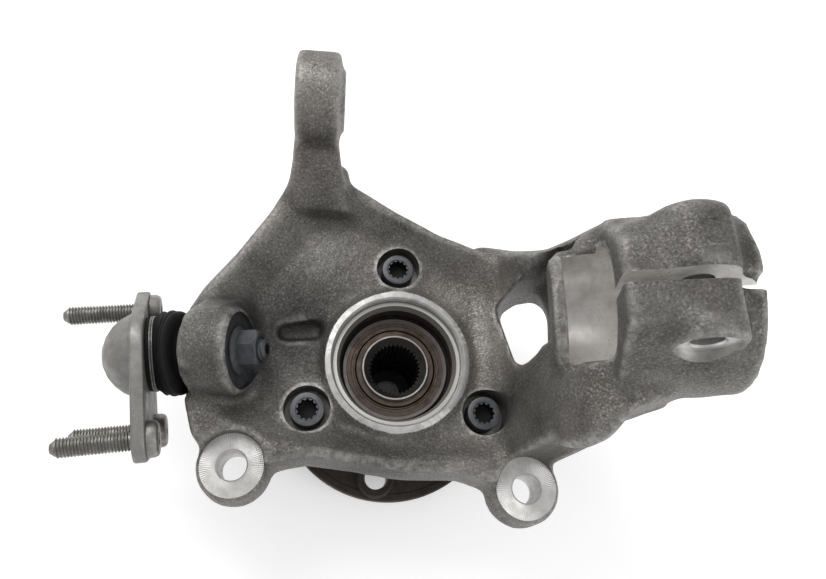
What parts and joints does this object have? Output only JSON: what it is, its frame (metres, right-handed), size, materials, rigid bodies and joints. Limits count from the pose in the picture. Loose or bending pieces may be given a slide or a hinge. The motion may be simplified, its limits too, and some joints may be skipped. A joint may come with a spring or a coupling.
{
  "type": "steering knuckle",
  "caption": "Cast front wheel carrier with bolted wheel bearing and splined hub, caliper ears, steering arm, split strut clamp and lower ball joint.",
  "frame": {"origin": "centre of the hub's wheel mounting face, on the wheel axis", "axes": "+Z inboard along the wheel axis, +X up the car towards the strut clamp, +Y towards the steering arm"},
  "size_m": [0.3281, 0.2466, 0.2218],
  "materials": {
    "cast_aluminium": "sand-cast, matt, with machined faces",
    "hub_steel": "forged steel with dark oxide",
    "bearing_steel": "ground steel",
    "bolt_black": "dark phosphate",
    "forged_plate": "light zinc coating on forged steel",
    "stud_steel": "rolled thread, dull",
    "pin_steel": "ground steel",
    "nut_steel": "dull dark coating",
    "rubber": "matt black",
    "cage_plastic": "dark polyamide",
    "encoder": "dark filled rubber on a steel carrier",
    "seat_plastic": "pale acetal",
    "wire_steel": "spring wire"
  },
  "bodies": {
    "knuckle": {"knuckle_casting": "cast_aluminium", "bearing_outer_ring": "bearing_steel", "bearing_bolt_1": "bolt_black", "bearing_bolt_2": "bolt_black", "bearing_bolt_3": "bolt_black", "inboard_seal": "rubber", "outboard_seal": "rubber", "ball_pin": "pin_steel", "ball_pin_nut": "nut_steel"},
    "hub": {"wheel_hub": "hub_steel", "bearing_inner_ring": "bearing_steel", "encoder_ring": "encoder"},
    "outboard_row": {"outboard_balls": "bearing_steel", "outboard_cage": "cage_plastic"},
    "inboard_row": {"inboard_balls": "bearing_steel", "inboard_cage": "cage_plastic"},
    "boot_collar": {"boot_lip_ring": "rubber"},
    "boot_base": {"ball_joint_boot": "rubber", "boot_clamp_ring": "wire_steel"},
    "joint_housing": {"ball_joint_housing": "forged_plate", "ball_seat": "seat_plastic", "seat_retainer": "wire_steel", "joint_stud_1": "stud_steel", "joint_stud_2": "stud_steel", "joint_stud_3": "stud_steel"}
  },
  "joints": [
    {"name": "hub_spin", "type": "hinge", "parent": "knuckle", "child": "hub", "pos_m": [0, 0, 0.034], "axis": [0, 0, 1], "continuous": true},
    {"name": "outboard_row_spin", "type": "hinge", "parent": "knuckle", "child": "outboard_row", "pos_m": [0, 0, 0.0245], "axis": [0, 0, 1], "continuous": true},
    {"name": "inboard_row_spin", "type": "hinge", "parent": "knuckle", "child": "inboard_row", "pos_m": [0, 0, 0.0435], "axis": [0, 0, 1], "continuous": true},
    {"name": "pin_swivel", "type": "hinge", "parent": "knuckle", "child": "boot_collar", "pos_m": [-0.133, -0.0017, 0.0715], "axis": [0.9659, 0, 0.2588], "range_deg": [-40, 40]},
    {"name": "joint_tilt", "type": "hinge", "parent": "boot_collar", "child": "boot_base", "pos_m": [-0.133, -0.0017, 0.0715], "axis": [-0.0945, 0.931, 0.3527], "range_deg": [-28, 1.5], "deforming": ["ball_joint_boot"]},
    {"name": "housing_spin", "type": "hinge", "parent": "boot_base", "child": "joint_housing", "pos_m": [-0.133, -0.0017, 0.0715], "axis": [0.9848, 0.1392, -0.1035], "range_deg": [-25, 25]}
  ],
  "couplings": [
    {"joint": "outboard_row_spin", "follows": "hub_spin", "ratio": 0.41},
    {"joint": "inboard_row_spin", "follows": "hub_spin", "ratio": 0.41}
  ]
}
